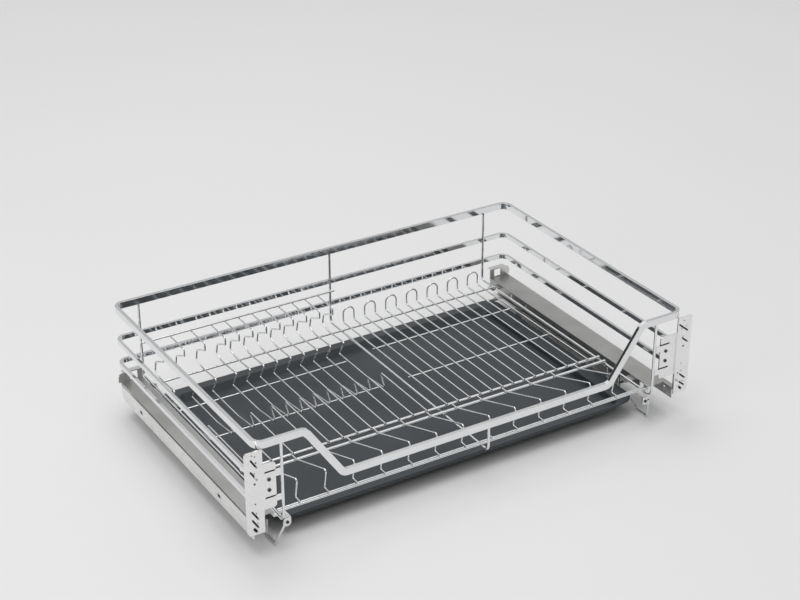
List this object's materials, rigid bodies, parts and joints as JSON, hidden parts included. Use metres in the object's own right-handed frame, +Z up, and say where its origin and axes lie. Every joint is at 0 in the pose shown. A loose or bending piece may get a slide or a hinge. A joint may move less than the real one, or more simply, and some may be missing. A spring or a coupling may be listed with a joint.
{
  "type": "pull-out dish rack",
  "caption": "Pull-out wire basket for plates, bowls and pans, with a flat-bar rim, sliding drip tray, telescopic runners and front fixing plates.",
  "frame": {"origin": "centre of the overall box at the level of the lowest surface", "axes": "+X to the right, +Y to the back of the cabinet, +Z up; the basket pulls out along -Y"},
  "size_m": [0.711, 0.446, 0.1765],
  "materials": {
    "bar_chrome": "polished chrome plating",
    "wire_chrome": "polished chrome plating",
    "zinc_sheet": "zinc plated, satin",
    "plate_paint": "light grey powder coat",
    "screw_steel": "zinc plated",
    "glide_plastic": "natural",
    "tray_plastic": "fine texture"
  },
  "bodies": {
    "cabinet_side": {"cabinet_profile_left": "zinc_sheet", "cabinet_profile_right": "zinc_sheet", "rear_tie_rod": "zinc_sheet"},
    "middle_left": {"middle_member_left": "zinc_sheet", "glide_pads_left": "glide_plastic"},
    "middle_right": {"middle_member_right": "zinc_sheet", "glide_pads_right": "glide_plastic"},
    "basket": {"drawer_profile_left": "zinc_sheet", "drawer_profile_right": "zinc_sheet", "tray_straps_left": "zinc_sheet", "tray_straps_right": "zinc_sheet", "rear_upstand_left": "zinc_sheet", "rear_upstand_right": "zinc_sheet", "fixing_plate_left": "plate_paint", "fixing_plate_right": "plate_paint", "adjusting_bracket_left": "plate_paint", "adjusting_bracket_right": "plate_paint", "adjusting_screws": "screw_steel", "lever_lug_left": "plate_paint", "lever_lug_right": "plate_paint", "lever_rivets": "screw_steel", "top_rim": "bar_chrome", "front_bar": "bar_chrome", "upper_rail": "bar_chrome", "lower_rail": "bar_chrome", "hoop_left": "wire_chrome", "hoop_centre": "wire_chrome", "hoop_right": "wire_chrome", "rear_cross_wire": "wire_chrome", "thick_cross_wire_back": "wire_chrome", "thick_cross_wire_front": "wire_chrome", "front_cross_wires": "wire_chrome", "plate_hanger_wire": "wire_chrome", "plate_rack_wide_wires": "wire_chrome", "plate_rack_close_wires": "wire_chrome", "plate_rack_lower_wires": "wire_chrome", "bowl_rack_arches": "wire_chrome", "bowl_rack_lower_wires": "wire_chrome", "front_rack_wires": "wire_chrome"},
    "tray": {"drip_tray": "tray_plastic"},
    "lever_left": {"release_lever_left": "wire_chrome"},
    "lever_right": {"release_lever_right": "wire_chrome"}
  },
  "joints": [
    {"name": "basket_slide", "type": "slide", "parent": "cabinet_side", "child": "basket", "axis": [0, -1, 0], "range_m": [0, 0.4]},
    {"name": "middle_left_slide", "type": "slide", "parent": "cabinet_side", "child": "middle_left", "axis": [0, -1, 0], "range_m": [0, 0.2]},
    {"name": "middle_right_slide", "type": "slide", "parent": "cabinet_side", "child": "middle_right", "axis": [0, -1, 0], "range_m": [0, 0.2]},
    {"name": "tray_slide", "type": "slide", "parent": "basket", "child": "tray", "axis": [0, -1, 0], "range_m": [0, 0.3]},
    {"name": "lever_left_hinge", "type": "hinge", "parent": "basket", "child": "lever_left", "pos_m": [-0.2917, -0.2085, 0.0363], "axis": [0, 1, 0], "range_deg": [0, 20], "stiffness_Nm_per_rad": 0.02},
    {"name": "lever_right_hinge", "type": "hinge", "parent": "basket", "child": "lever_right", "pos_m": [0.2917, -0.2085, 0.0363], "axis": [0, -1, 0], "range_deg": [0, 20], "stiffness_Nm_per_rad": 0.02}
  ],
  "couplings": [
    {"joint": "middle_left_slide", "follows": "basket_slide", "ratio": 0.5},
    {"joint": "middle_right_slide", "follows": "basket_slide", "ratio": 0.5}
  ]
}
